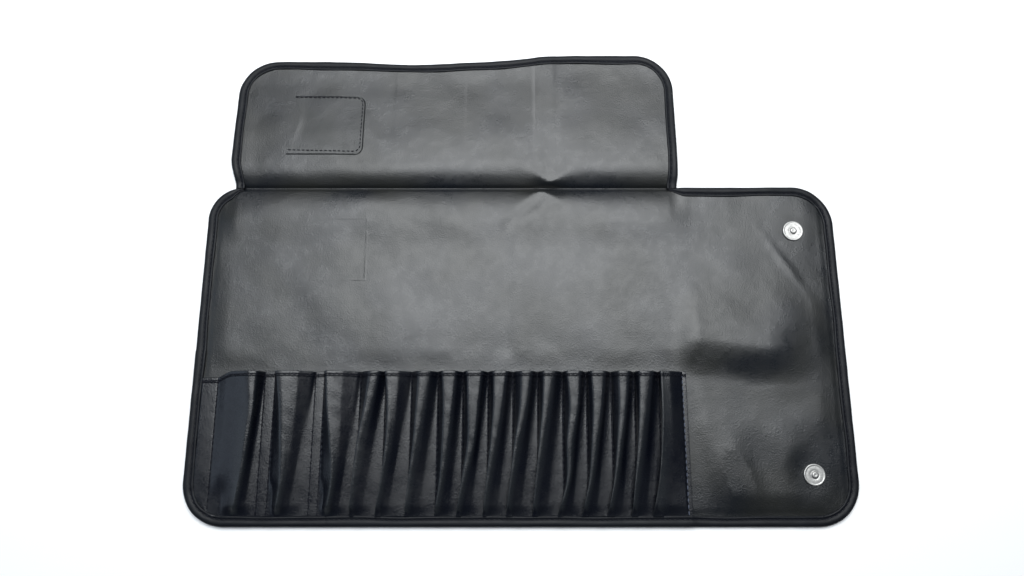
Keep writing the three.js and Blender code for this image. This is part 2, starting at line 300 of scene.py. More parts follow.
def layer(name, x, y, top, under, material):
    """A thin solid between two heights. Its rings run along the second axis of x and y."""
    upper = np.stack([x, y, top(x, y)], -1)
    lower = np.stack([x, y, under(x, y)], -1)[:, ::-1]
    normals = np.concatenate(
        [slope_normals(top, x, y, 1), slope_normals(under, x, y, -1)[:, ::-1]], axis=1
    )
    return tube(name, np.concatenate([upper, lower], axis=1), material, normals)


def declare_sheet(piece, width=None, length=None):
    """Works out a leather's cut size, as wide and long as it lies unless its own size is given, and
    does nothing more with it.
    """
    width = width or piece.dimensions.x / MM
    length = length or piece.dimensions.y / MM


# ---- the lie of the leather


def rim_distance(x, y):
    """How far a place on the body lies from the nearest of its left, right and front edges."""
    s = x - LEFT
    return np.minimum(np.minimum(s, RIGHT - LEFT - s), y - FRONT)


def fold_dip(x, y):
    """1 at the fold, 0 where the body leather has come back up, in front of it."""
    s = x - LEFT
    pinch = bell((s - PINCH + 8) / PINCH_WIDTH)
    reach = (28 + 4.5 * np.sin(s / 31 + 0.6) + 2.6 * np.sin(s / 13)) * (1 - 0.75 * pinch)
    within = smooth((s - 4) / 14) * (1 - smooth((s - 418) / 12))
    return np.clip(1 + (y - FOLD) / reach, 0, 1) ** 2 * within


def body_relief(x, y):
    """How far the body's lining stands above its CAD place."""
    s = x - LEFT
    behind = smooth((y - MOUTH - 1) / 20)
    beside = smooth((s - POCKET_END - 2) / 14)
    free = np.maximum(behind, beside)
    relief = 0.8 + 0.6 * ripple(x, y, 118, 1.3) + 0.3 * ripple(x, y, 47, 2.1)
    drape = np.clip((FOLD - y) / 45, 0, 1)
    valley_at = 300 - 33 * smooth(drape)
    relief -= 0.75 * bell((s - valley_at) / 7.5) * behind
    relief += 0.35 * bell((s - valley_at - 14) / 9) * behind
    relief += 1.9 * smooth((y - FOLD + 58) / 34) * (1 - smooth((s - 405) / 30))
    folds = np.sin((s - 452) / 9.5 + (y - FRONT) / 34) * bell((y - FRONT - 38) / 46)
    relief += 1.3 * folds * bell((s - 468) / 36)
    relief += 1.8 * smooth((FRONT + 104 - y) / 62) * bell((s - 472) / 44)
    diagonal = (s - 508) + (y - FOLD + 62) * 0.62
    relief += 0.55 * bell(diagonal / 4.5) * bell((y - FOLD + 70) / 26)
    for stud_y in STUD_ROWS:
        away = np.hypot(s - STUD_PLACE, y - stud_y)
        relief = lerp(STUD_RELIEF, relief, smooth((away - SNAP_RADIUS) / 20))
    relief = np.minimum(relief, MOST_RELIEF)
    rise = y - MOUTH + 10 - 3 * np.sin(s / 21)
    ridge = 5.6 * smooth(rise / 36) * (1 - smooth((rise - 32) / 62))
    ridge *= smooth((s - 410) / 24) * (1 - 0.8 * smooth((s - 492) / 45))
    return (relief * free + ridge) * smooth((rim_distance(x, y) - 6) / 22)


def body_top(x, y):
    """Height of the lining's upper face over the body of the case."""
    tucked = 0.35 * smooth(1 - (rim_distance(x, y) - TAPE_WIDTH) / 5)
    return lerp(LINING_TOP + body_relief(x, y) - tucked, FOLD_FLOOR, fold_dip(x, y))


def flap_top(x, y):
    """Height of the inner face of the flap as it lies open."""
    s, v = x - LEFT, y - FOLD
    pinch = bell((s - PINCH) / PINCH_WIDTH)
    length = (FLAP_RISE_LENGTH + 1.6 * np.sin(s / 43 + 2)) * (1 - 0.78 * pinch)
    side = np.minimum(s - (FLAP_LEFT - LEFT), (FLAP_RIGHT - LEFT) - s)
    lift = FLAP_LIFT * (1 - 0.45 * pinch)
    falls = 1 - smooth((v - 22) / 92)
    lumps = 0.34 * ripple(x, y, 96, 4.2) + 0.2 * ripple(x, y, 41, 0.7)
    band = 0.8 * (smooth((s - 290) / 10) - smooth((s - 308) / 9)) * smooth(v / 12)
    shelf = LINING_TOP + lift * falls + (lumps + band) * smooth((side - 8) / 16)
    return lerp(shelf, FOLD_FLOOR, np.clip(1 - v / length, 0, 1) ** 2)


def crease_top(x, y):
    """The leather at the fold, from body to flap, with a narrow slot along the fold."""
    slot = 0.95 * bell((y - FOLD) / 1.7)
    return np.where(y < FOLD, body_top(x, y), flap_top(x, y)) - slot


def below(top, thickness, floor=TABLE_GAP):
    """The underside of a leather of that thickness, which never goes under the table."""

    def under(x, y):
        return np.maximum(top(x, y) - thickness, floor)

    return under


# ---- outlines


def case_rows(x, inset):
    """The lowest and highest y of the body at x, drawn in by an inset."""
    low = np.full_like(x, FRONT + inset)
    high = np.full_like(x, FOLD - inset)
    for radius, rim, is_low, centre in (
        (CORNER, LEFT, True, LEFT + CORNER),
        (CORNER, RIGHT, True, RIGHT - CORNER),
        (FOLD_CORNER, LEFT, False, LEFT + FOLD_CORNER),
        (CORNER, RIGHT, False, RIGHT - CORNER),
    ):
        outside = (x < centre) if rim == LEFT else (x > centre)
        r = radius - inset
        drop = r - np.sqrt(np.maximum(r * r - (x - centre) ** 2, 0))
        if is_low:
            low = np.where(outside, FRONT + inset + drop, low)
        else:
            high = np.where(outside, FOLD - inset - drop, high)
    return low, high


def flap_side(y, inset):
    """The flap's left and right edge at y, drawn in by an inset."""
    v = y - FOLD
    left = FLAP_LEFT + 4.6 * (1 - smooth(v / 27)) + inset
    right = FLAP_RIGHT - 1.2 * (1 - smooth(v / 12)) - inset
    r = CORNER - inset
    up = np.clip(y - (FAR - CORNER), 0, r)
    drop = r - np.sqrt(np.maximum(r * r - up * up, 0))
    return left + drop, right - drop


def corner(cx, cy, radius, start, end):
    """Points round an arc, with angles in degrees."""
    angles = np.radians(steps(start, end, 4.5))
    return np.stack([cx + radius * np.cos(angles), cy + radius * np.sin(angles)], -1)


def line_through(points):
    """Points along straight runs, with every given point among them."""
    runs = []
    for (x0, y0), (x1, y1) in zip(points, points[1:]):
        t = steps(0, 1, 2.6 / max(math.hypot(x1 - x0, y1 - y0), 1e-6))[:, None]
        runs.append(lerp(np.array([x0, y0]), np.array([x1, y1]), t))
    return join_runs(runs)


def join_runs(runs):
    """Joins runs of points end to end, dropping each point that is there already."""
    joined = [runs[0]]
    for run in runs[1:]:
        repeats = np.hypot(*(run[0] - joined[-1][-1])) < 0.01
        joined.append(run[1:] if repeats else run)
    return np.concatenate(joined)


# The y where the tape's ends overlap on the left edge, and the x of its two joins in front.
TAPE_LAP = FRONT + 145
TAPE_JOINS = (-160, 138)


def case_tape_path():
    """The case's edge from the left end of the fold, round the front, to its right end."""
    x0, x1, y0, y1 = LEFT, RIGHT, FRONT, FOLD
    lap = [(x0, TAPE_LAP + 0.4), (x0, TAPE_LAP - 0.4)]
    cuts = [(x, y0) for x in MIDDLES[1:-1]]
    joins = [(x + d, y0) for x in TAPE_JOINS for d in (-0.7, 0, 0.7)]
    front = sorted(cuts + joins)
    return join_runs([
        corner(x0 + FOLD_CORNER, y1 - FOLD_CORNER, FOLD_CORNER, 92, 180),
        line_through([(x0, y1 - FOLD_CORNER), *lap, (x0, y0 + CORNER)]),
        corner(x0 + CORNER, y0 + CORNER, CORNER, 180, 270),
        line_through([(x0 + CORNER, y0), *front, (x1 - CORNER, y0)]),
        corner(x1 - CORNER, y0 + CORNER, CORNER, -90, 0),
        line_through([(x1, y0 + CORNER), (x1, y1 - CORNER)]),
        corner(x1 - CORNER, y1 - CORNER, CORNER, 0, 90),
        line_through([(x1 - CORNER, y1), (MIDDLES[7], y1), (FLAP_RIGHT - 9, y1)]),
    ])


def flap_tape_path():
    """The flap's edge from the right end of the fold, round its far edge, to the left end."""
    near = FOLD - 0.9
    ys = steps(near, FAR - CORNER, 2.4)
    left, right = flap_side(ys, 0)
    cuts = [(x, FAR) for x in BENDS[5::-1] if FLAP_LEFT + CORNER < x]
    return join_runs([
        np.stack([right, ys], -1),
        corner(FLAP_RIGHT - CORNER, FAR - CORNER, CORNER, 0, 90),
        line_through([(FLAP_RIGHT - CORNER, FAR), *cuts, (FLAP_LEFT + CORNER, FAR)]),
        corner(FLAP_LEFT + CORNER, FAR - CORNER, CORNER, 90, 180),
        np.stack([left, ys], -1)[::-1],
    ])


def inward_of(path):
    """Directions into the case, and along its edge, at each point of a path."""
    tangent = unit(np.gradient(path, axis=0))
    return np.stack([-tangent[:, 1], tangent[:, 0]], -1), tangent


# ---- camera, lights, floor


def make_camera():
    """A wide lens close above the case. Its place is in metres, as all places here are."""
    camera = add_object("camera", bpy.data.cameras.new("camera"))
    camera.location = (-0.0075, -0.1575, 0.636)
    camera.rotation_euler = (math.radians(13), 0, 0)
    camera.data.lens = 26
    camera.data.sensor_width = 36
    bpy.context.scene.camera = camera


def area_light(name, place, size, power, colour, turn=(0, 0, 0)):
    light = bpy.data.lights.new(name, "AREA")
    light.shape = "RECTANGLE"
    light.size, light.size_y = size
    light.energy = power
    light.color = colour
    lamp = add_object(name, light)
    lamp.location = place
    lamp.rotation_euler = [math.radians(angle) for angle in turn]


def make_studio():
    area_light("softbox", (0.02, 0.515, 1.25), (1.5, 1.15), 32, (0.94, 0.975, 1.0))
    area_light("softbox_middle", (0.04, 0.56, 1.24), (0.95, 0.86), 4.2, (1.0, 0.98, 0.93))
    area_light("side_panel", (-1.3, 0.0, 0.75), (0.9, 0.9), 2.8, (0.72, 0.84, 1.0), (0, -58, 0))
    world = bpy.data.worlds.new("studio")
    world.use_nodes = True
    background = world.node_tree.nodes["Background"]
    background.inputs["Color"].default_value = (0.72, 0.82, 1.0, 1)
    background.inputs["Strength"].default_value = 0.09
    bpy.context.scene.world = world
    bpy.context.scene.view_settings.view_transform = "Standard"
    material = bpy.data.materials.new("floor")
    material.use_nodes = True
    shader = material.node_tree.nodes["Principled BSDF"]
    shader.inputs["Base Color"].default_value = (0.9, 0.9, 0.9, 1)
    shader.inputs["Roughness"].default_value = 0.9
    shader.inputs["Specular IOR Level"].default_value = 0.1
    mesh = bpy.data.meshes.new("floor")
    half = 4.0
    corners = [(-half, -half, 0), (half, -half, 0), (half, half, 0), (-half, half, 0)]
    mesh.from_pydata(corners, [], [(0, 1, 2, 3)])
    mesh.materials.append(material)
    floor = add_object("floor", mesh)


# ---- materials


def scaled(colour, factor):
    return tuple(factor * c for c in colour)


class Nodes:
    """A short way to write a material's nodes, in millimetres of the case."""

    def __init__(self, name):
        self.material = bpy.data.materials.new(name)
        self.material.use_nodes = True
        self.tree = self.material.node_tree
        self.shader = self.tree.nodes["Principled BSDF"]
        place = self.tree.nodes.new("ShaderNodeTexCoord")
        self.place = self.new("ShaderNodeMapping", Vector=place.outputs["Object"])
        self.place.inputs["Scale"].default_value = (1 / MM, 1 / MM, 1 / MM)

    def fill(self, socket, value):
        """Links another node's output to a socket, or sets its value."""
        if isinstance(value, bpy.types.NodeSocket):
            self.tree.links.new(value, socket)
        else:
            socket.default_value = value

    def new(self, kind, **inputs):
        node = self.tree.nodes.new(kind)
        for name, value in inputs.items():
            self.fill(node.inputs[name.replace("_", " ")], value)
        return node

    def shrunk(self, *sizes):
        """The place in the case divided by a size for each direction."""
        mapping = self.new("ShaderNodeMapping", Vector=self.place.outputs[0])
        mapping.inputs["Scale"].default_value = tuple(1 / size for size in sizes)
        return mapping.outputs[0]

    def noise(self, size, detail=2.0, stretch=(1, 1, 1), distortion=0.0):
        """Noise with features of about that size."""
        vector = self.shrunk(*(size * k for k in stretch))
        node = self.new("ShaderNodeTexNoise", Vector=vector, Scale=1.0, Detail=detail)
        node.inputs["Distortion"].default_value = distortion
        return node.outputs["Fac"]

    def cells(self, size):
        vector = self.shrunk(size, size, size)
        node = self.new("ShaderNodeTexVoronoi", Vector=vector, Scale=1.0)
        node.feature = "SMOOTH_F1"
        node.inputs["Smoothness"].default_value = 0.6
        return node.outputs["Distance"]

    def ramp(self, value, low, high, to_low, to_high):
        node = self.new("ShaderNodeMapRange", Value=value)
        node.interpolation_type = "SMOOTHSTEP"
        limits = {"From Min": low, "From Max": high, "To Min": to_low, "To Max": to_high}
        for socket, number in limits.items():
            node.inputs[socket].default_value = number
        return node.outputs["Result"]

    def math(self, operation, a, b):
        node = self.tree.nodes.new("ShaderNodeMath")
        node.operation = operation
        for socket, value in zip(node.inputs, (a, b)):
            self.fill(socket, value)
        return node.outputs[0]

    def mix(self, factor, a, b):
        node = self.tree.nodes.new("ShaderNodeMix")
        node.data_type = "RGBA"
        for index, value in ((0, factor), (6, a), (7, b)):
            self.fill(node.inputs[index], (*value, 1) if isinstance(value, tuple) else value)
        return node.outputs[2]

    def bump(self, height, distance, previous=None):
        node = self.new("ShaderNodeBump", Height=height, Distance=distance * MM, Strength=1.0)
        if previous is not None:
            self.tree.links.new(previous, node.inputs["Normal"])
        return node.outputs["Normal"]

    # The per-point painted highlight share, which lights the pockets' crests and mouth lip.
    def painted_highlight_share(self):
        node = self.tree.nodes.new("ShaderNodeAttribute")
        node.attribute_name = "painted_highlight_share"
        return node.outputs["Fac"]

    def set(self, **inputs):
        for name, value in inputs.items():
            self.fill(self.shader.inputs[name.replace("_", " ")], value)


def leather(name, dark, light, rough, grain, cloud=60, painted_highlight=(0.09, 0.095, 0.1), gloss=0.5,
            extra=None):
    """Leathercloth: pebbled grain, soft wrinkles, cloudy tone and a painted highlight, a lighter tone
    wherever a mesh carries a painted highlight share.
    """
    nodes = Nodes(name)
    clouds = nodes.noise(cloud, 1.5, distortion=0.3)
    blotches = nodes.noise(9, 2)
    pebbles = nodes.cells(grain)
    fine = nodes.noise(grain * 0.45, 2)
    tone = nodes.mix(nodes.ramp(clouds, 0.3, 0.7, 0, 1), dark, light)
    tone = nodes.mix(nodes.ramp(blotches, 0.35, 0.7, 0, 0.28), tone, scaled(dark, 0.5))
    tone = nodes.mix(nodes.ramp(fine, 0.3, 0.75, 0, 0.35), tone, scaled(light, 1.7))
    # Painted highlight: the tone goes lighter, towards the painted highlight colour, where the mesh
    # carries a painted highlight share.
    tone = nodes.mix(nodes.math("MULTIPLY", nodes.painted_highlight_share(), 0.6), tone, painted_highlight)
    roughness = nodes.math("ADD", nodes.ramp(clouds, 0.25, 0.75, rough[0], rough[1]),
                           nodes.ramp(blotches, 0.3, 0.7, -0.025, 0.03))
    roughness = nodes.math("ADD", roughness, nodes.ramp(fine, 0.25, 0.75, -0.04, 0.04))
    normal = nodes.bump(nodes.noise(26, 2), 0.45)
    normal = nodes.bump(nodes.noise(5.5, 2, (1, 1.3, 1)), 0.05, normal)
    if extra is not None:
        normal = extra(nodes, normal)
    normal = nodes.bump(pebbles, 0.09, normal)
    normal = nodes.bump(fine, 0.05, normal)
    nodes.set(Base_Color=tone, Roughness=roughness, Normal=normal, Specular_IOR_Level=gloss)
    return nodes.material


def patch_mark(nodes, normal):
    """The faint mark that the folded flap's patch has pressed into the lining."""
    split = nodes.new("ShaderNodeSeparateXYZ", Vector=nodes.place.outputs[0])
    x = nodes.math("SUBTRACT", split.outputs["X"], along(110))
    y = nodes.math("SUBTRACT", split.outputs["Y"], FOLD - 58)
    across = nodes.math("SUBTRACT", nodes.math("ABSOLUTE", x, 0), 33)
    deep = nodes.math("SUBTRACT", nodes.math("ABSOLUTE", y, 0), 28)
    edge = nodes.math("ABSOLUTE", nodes.math("MAXIMUM", across, deep), 0)
    worn_out = nodes.ramp(nodes.noise(30, 1), 0.4, 0.6, 0.1, 1)
    only_right = nodes.ramp(split.outputs["X"], along(88), along(112), 0, 1)
    line = nodes.math("MULTIPLY", nodes.ramp(edge, 0.0, 1.6, 1, 0), worn_out)
    return nodes.bump(nodes.math("MULTIPLY", line, only_right), 0.13, normal)


def thread(name, colour):
    nodes = Nodes(name)
    twist = nodes.noise(0.35)
    tone = nodes.mix(nodes.ramp(twist, 0.3, 0.7, 0, 1), colour, scaled(colour, 2.2))
    nodes.set(Base_Color=tone, Roughness=nodes.ramp(twist, 0.3, 0.7, 0.6, 0.8),
              Normal=nodes.bump(twist, 0.08), Specular_IOR_Level=0.25)
    return nodes.material


def nickel():
    nodes = Nodes("nickel plate")
    nodes.set(Metallic=1.0)
    brushed = nodes.noise(0.5, 3, (1, 6, 1))
    specks = nodes.noise(1.4, 3)
    tone = nodes.mix(nodes.ramp(specks, 0.35, 0.7, 0, 1), (0.45, 0.445, 0.43), (0.36, 0.355, 0.345))
    tone = nodes.mix(nodes.ramp(nodes.noise(0.6, 2), 0.62, 0.75, 0, 0.5), tone, (0.25, 0.25, 0.25))
    nodes.set(Base_Color=tone, Roughness=nodes.ramp(specks, 0.3, 0.7, 0.42, 0.54),
              Normal=nodes.bump(brushed, 0.03))
    return nodes.material


make_camera()
make_studio()

LINING = leather("lining leathercloth", (0.0028, 0.0042, 0.0074), (0.0088, 0.0092, 0.008),
                 (0.29, 0.35), 1.15, extra=patch_mark)
FLAP = leather("flap leathercloth", (0.0028, 0.004, 0.007), (0.0088, 0.0092, 0.008), (0.29, 0.35), 1.15)
SHELL = leather("shell leathercloth", (0.004, 0.005, 0.0075), (0.007, 0.0085, 0.011), (0.36, 0.44), 1.3)
# The pocket's painted highlight colour, far lighter than its leather, lights its crests and mouth lip.
POCKET = leather("pocket leathercloth", (0.0012, 0.0018, 0.0044), (0.003, 0.0038, 0.0062),
                 (0.25, 0.31), 1.0, 34, painted_highlight=(0.02, 0.023, 0.025), gloss=0.46)
TAPE = leather("edge tape", (0.0014, 0.002, 0.004), (0.0034, 0.0044, 0.0066), (0.46, 0.56), 0.8, 40,
               painted_highlight=(0.02, 0.023, 0.025), gloss=0.22)
PATCH = leather("patch leathercloth", (0.004, 0.005, 0.0068), (0.0085, 0.0096, 0.0092),
                (0.33, 0.41), 1.1, 30)
THREAD = thread("navy thread", (0.0008, 0.001, 0.0035))
PALE_THREAD = thread("grey thread", (0.045, 0.052, 0.072))
NICKEL = nickel()

# ---- stitches


def stitches(name, centres, tangents, ups, material, pitch=FINE_PITCH):
    """A row of sewn stitches: short rounded lengths of thread, sunk at both ends."""
    sides = 8
    length = pitch * STITCH_SHARE
    rings = [(-0.5, 0.35, -0.3), (-0.42, 0.8, -0.08), (-0.15, 1, 0.1), (0.15, 1, 0.1),
             (0.42, 0.8, -0.08), (0.5, 0.35, -0.3)]
    turn = np.linspace(0, 2 * math.pi, sides, endpoint=False)
    across = np.cross(ups, tangents)
    points, faces = [], []
    for centre, t, u, a in zip(centres, tangents, ups, across):
        base = len(points) * len(rings) * sides
        rows = [
            centre + t * (place * length) + u * (sink * STITCH_RADIUS)
            + np.outer(np.cos(turn), a) * (STITCH_RADIUS * swell)
            + np.outer(np.sin(turn), u) * (STITCH_RADIUS * swell)
            for place, swell, sink in rings
        ]
        points.append(np.concatenate(rows))
        for r in range(len(rings) - 1):
            for k in range(sides):
                a0, a1 = base + r * sides + k, base + r * sides + (k + 1) % sides
                faces.append((a0, a0 + sides, a1 + sides, a1))
        faces.append(tuple(base + k for k in range(sides)))
        last = base + (len(rings) - 1) * sides
        faces.append(tuple(last + k for k in reversed(range(sides))))
    return make_mesh(name, np.concatenate(points), faces, material)


def evenly(path, pitch=FINE_PITCH):
    """Places and tangents every pitch along a 3-D polyline, and how far along they lie."""
    reach = lengths_along(path)
    at = np.arange(pitch / 2, reach[-1], pitch)
    ahead = at_reach(path, reach, at + 0.4)
    behind = at_reach(path, reach, at - 0.4)
    return at_reach(path, reach, at), unit(ahead - behind), at


# ---- the body of the case


def across_bend(piece, index):
    """Bakes a piece's transform into its mesh. The index of the bend line is not used."""
    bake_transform(piece)


def body_columns(index):
    """The x values of the body piece that spans the bend line of that index."""
    start = LEFT + LAYER_INSET if index == 0 else MIDDLES[index]
    end = RIGHT - LAYER_INSET if index == len(BENDS) - 1 else MIDDLES[index + 1]
    marks = {start, end, BENDS[index]}
    if start < CREASE_RIGHT < end:
        marks |= {CREASE_RIGHT - 0.2, CREASE_RIGHT + 0.2}
    marks = sorted(marks)
    runs = [steps(a, b, 3.6) for a, b in zip(marks, marks[1:])]
    columns = np.unique(np.round(np.concatenate(runs), 4))
    from_rim = 30 * (1 - np.cos(np.linspace(0, math.pi / 2, 12)))
    if index == 0:
        rim = LEFT + LAYER_INSET + from_rim
        columns = np.unique(np.concatenate([rim[:-1], columns[columns > rim[-1]]]))
    if index == len(BENDS) - 1:
        rim = RIGHT - LAYER_INSET - from_rim
        columns = np.unique(np.concatenate([rim[:-1], columns[columns < rim[-1]]]))
    return columns


def body_grid(index, row_step):
    """The x and y values of a body piece, closer together near its far end."""
    columns = body_columns(index)
    low, high = case_rows(columns, LAYER_INSET)
    high = np.where(columns < CREASE_RIGHT, np.minimum(high, CREASE_FRONT), high)
    count = int((FOLD - FRONT) / row_step)
    fractions = np.linspace(0, 1, count)
    fractions = np.unique(np.concatenate([fractions, 1 - np.linspace(0, 0.06, 9)]))
    y, x = grid_between(low, high, columns, fractions)
    return x, y


def make_body():
    lining_under = below(body_top, LINING_THICKNESS, 0.75)

    def shell_top(x, y):
        return np.minimum(SHELL_TOP, lining_under(x, y) - 0.05)

    def shell_under(x, y):
        return np.clip(body_top(x, y) - BOTH_THICKNESS, TABLE_GAP, SHELL_BOTTOM)

    for index in range(len(BENDS)):
        number = index + 1
        body = BODIES[index]
        stands_for = [body] if number < 8 else [body, BODIES[8]]
        x, y = body_grid(index, 3.6)
        lining = layer(f"lining_{number}", x, y, body_top, lining_under, LINING)
        x, y = body_grid(index, 7)
        shell = layer(f"outer_shell_{number}", x, y, shell_top, shell_under, SHELL)
        for piece, kind in ((lining, "lining"), (shell, "outer_shell")):
            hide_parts(*[f"{kind}_{name}" for name in stands_for])
            declare_sheet(piece)
            across_bend(piece, index)


# ---- the fold and the flap


def strip_grid(k, ys, inset):
    """The x and y values of flap strip k, counted from 1, in rows at those y."""
    left, right = flap_side(ys, inset)
    start = np.maximum(left, PANEL_EDGES[k - 1])
    end = np.minimum(right, PANEL_EDGES[k])
    count = max(6, int((PANEL_EDGES[k] - PANEL_EDGES[k - 1]) / 3.4))
    return grid_between(start, end, ys, np.linspace(0, 1, count))


def far_edge_shift(x):
    """How far the flap's far edge lies beyond its straight place, or short of it."""
    s = x - LEFT
    left_part = -3.9 * (1 - smooth((s - 235) / 80)) - 3.2 * bell((s - 180) / 45)
    return left_part + 2.4 * smooth((s - 265) / 70)


def settle_flap(piece):
    """Moves a flap piece's points along the flap, as the far edge's shift asks."""
    points = np.empty(3 * len(piece.data.vertices))
    piece.data.vertices.foreach_get("co", points)
    points = points.reshape(-1, 3) / MM
    share = np.clip((points[:, 1] - FOLD) / (FAR - FOLD), 0, 1)
    points[:, 1] += far_edge_shift(points[:, 0]) * share
    piece.data.vertices.foreach_set("co", (points * MM).ravel())
    piece.data.update()


def squash_flap(piece, k):
    """Shifts a piece as the flap's far edge asks and rides it on flap strip k."""
    settle_flap(piece)
    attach(piece, f"flap_{k}")
    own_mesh(piece)


def gusset(name, k, ys, top, under):
    """The leather's hidden middle on the right of strip k, which shows as the strips open."""
    x = np.full_like(ys, BENDS[k - 1])
    up, down = top(x, ys) - 0.35, under(x, ys) + 0.25
    rings = np.stack([
        np.stack([x + dx, ys, h], -1)
        for dx, h in ((-1.3, down), (1.3, down), (1.3, up), (-1.3, up))
    ], axis=1)
    return tube(name, rings, FLAP)


def make_fold_and_flap():
    crease_rows = FOLD + np.array([
        -6, -5.2, -4.4, -3.6, -2.9, -2.2, -1.6, -1.1, -0.75, -0.4, 0,
        0.4, 0.75, 1.1, 1.6, 2.2, 2.9, 3.7, FOLD_ZONE,
    ])
    near = steps(CREASE_BACK, FOLD + 34, 1.6)
    far = steps(FOLD + 34, FAR - CORNER, 3.4)
    bend = FAR - LAYER_INSET - (CORNER - LAYER_INSET) * (1 - np.sin(np.linspace(0, math.pi / 2, 14)))
    flap_rows = np.unique(np.concatenate([near, far, bend]))
    crease_under = below(crease_top, BOTH_THICKNESS)
    flap_under = below(flap_top, BOTH_THICKNESS)
    start, end = (0, (FOLD - FOLD_ZONE) * MM, 0), (0, (FOLD + FOLD_ZONE) * MM, 0)
    for k in range(1, 8):
        x, y = strip_grid(k, crease_rows, LAYER_INSET)
        crease = layer(f"fold_{k}", x, y, crease_top, crease_under, LINING)
        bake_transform(crease)
        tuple(start)
        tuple(end)
        x, y = strip_grid(k, flap_rows, LAYER_INSET)
        flap = layer(f"flap_leather_front_{k}", x, y, flap_top, flap_under, FLAP)
        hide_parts(f"flap_leather_{k}")
        declare_sheet(flap)
        squash_flap(flap, k)
        if k < 7:
            seam = gusset(f"fold_bend_{k}", k, crease_rows, crease_top, crease_under)
            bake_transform(seam)
            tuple(start)
            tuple(end)
            rows = steps(CREASE_BACK, FAR - 4, 3)
            seam = gusset(f"flap_bend_{k}", k, rows, flap_top, flap_under)
            squash_flap(seam, k)


# ---- edge tape

# Section of the folded tape: distance in from its outer edge, and height.
TAPE_SECTION = np.array([
    (8.3, 0.42), (6.6, 0.16), (4.2, 0.08), (2.0, 0.06), (1.0, 0.26), (0.36, 0.8), (0.06, 1.6),
    (0.02, 2.4), (0.22, 3.2), (0.75, 3.9), (1.6, 4.32), (2.7, 4.5), (3.8, 4.45), (4.7, 4.2),
    (5.35, 3.86), (5.75, 3.52), (6.05, 3.4), (6.35, 3.52), (6.75, 3.82), (7.3, 4.0), (7.9, 3.98),
    (8.4, 3.78), (8.7, 3.4), (8.72, 3.0), (8.4, 2.9), (4.5, 2.7), (1.5, 2.5), (1.4, 1.2), (4.5, 0.9),
    (8.2, 0.8),
])
TAPE_STITCH = (6.05, 3.55)


def tape_lift(x, y):
    """How much the tape's top rises over the leather that it holds."""
    s = x - LEFT
    on_flap = y > FOLD
    under_flap = np.maximum(flap_top(x, np.maximum(y, FOLD)) - LINING_TOP, 0)
    under_body = np.maximum(body_top(x, np.minimum(y, FOLD)) - LINING_TOP, 0)
    lift = np.where(on_flap, under_flap * smooth((y - FOLD) / 9), under_body)
    pockets = smooth((s - 9) / 8) * (1 - smooth((s - POCKET_END + 1) / 3)) * (y < FRONT + 30)
    lap = (s < 20) * (y < TAPE_LAP)
    joins = sum(bell((x - join) / 0.5) for join in TAPE_JOINS) * (y < FRONT + 20)
    return lift + 0.85 * pockets + 0.55 * lap - 0.35 * joins


def sweep_tape(path, tucked):
    """The whole tape as rings and normals, with its waves and puckers.

    A tucked tape narrows at both ends, where it goes in under the flap.
    """
    inward, tangent = inward_of(path)
    reach = lengths_along(path)
    from_end = np.minimum(reach, reach[-1] - reach)
    ends = lerp(0.3, 1, smooth(from_end / 15)) if tucked else np.ones_like(reach)
    wave = 0.28 * np.sin(reach / 21) + 0.18 * np.sin(reach / 8.7 + 1)
    turning = np.abs(np.gradient(np.unwrap(np.arctan2(tangent[:, 1], tangent[:, 0])), reach))
    pucker = np.clip(turning * 40, 0, 1)[:, None]
    d, z = TAPE_SECTION[:, 0], TAPE_SECTION[:, 1]
    inner = path + inward * (TAPE_WIDTH + 1)
    lift = tape_lift(inner[:, 0], inner[:, 1])
    top_part = smooth((z - 1.2) / 1.6)
    inner_part = smooth((d - 3) / 4)
    height = ends[:, None] ** 0.5 * z[None, :] + lift[:, None] * top_part[None, :]
    height = height + (0.12 * np.sin(reach / 5.3) + 0.07 * np.sin(reach / 2.9))[:, None] * top_part
    height = height + pucker * 0.22 * np.sin(reach * 2 * math.pi / 4.1)[:, None] * inner_part * top_part
    width = (ends * (1 + 0.025 * np.sin(reach / 14 + 2)))[:, None] * d[None, :]
    plan = path[:, None, :] + inward[:, None, :] * (width + wave[:, None] * (d / 9)[None, :])[..., None]
    rings = np.concatenate([plan, np.maximum(height, 0.05)[..., None]], -1)
    down_path = np.gradient(rings, axis=0)
    round_it = np.roll(rings, -1, axis=1) - np.roll(rings, 1, axis=1)
    normals = unit(np.cross(round_it, down_path))
    return rings, normals


def tape_stitch_line(rings):
    """The 3-D line that the tape's upper stitches follow."""
    groove = int(np.argmin(np.abs(TAPE_SECTION - TAPE_STITCH).sum(1)))
    line = rings[:, groove].copy()
    line[:, 2] += 0.12
    return line


def tape_pieces(path, cuts, tucked, emit):
    """Splits a swept tape at its cuts and hands each part on, with its stitches."""
    rings, normals = sweep_tape(path, tucked)
    top_point = int(np.argmax(TAPE_SECTION[:, 1]))
    points_up = (normals[:, top_point, 2] > 0).mean() > 0.5
    normals = normals if points_up else -normals
    line = tape_stitch_line(rings)
    places, tangents, at = evenly(line)
    reach = lengths_along(line)
    marks = [0, *[int(np.argmin(np.hypot(*(path - cut).T))) for cut in cuts], len(path) - 1]
    for part, (a, b) in enumerate(zip(marks, marks[1:])):
        chosen = (at >= reach[a]) & (at < reach[b])
        sewn = (places[chosen], tangents[chosen], upright(int(chosen.sum())))
        emit(part, rings[a:b + 1], normals[a:b + 1], sewn)


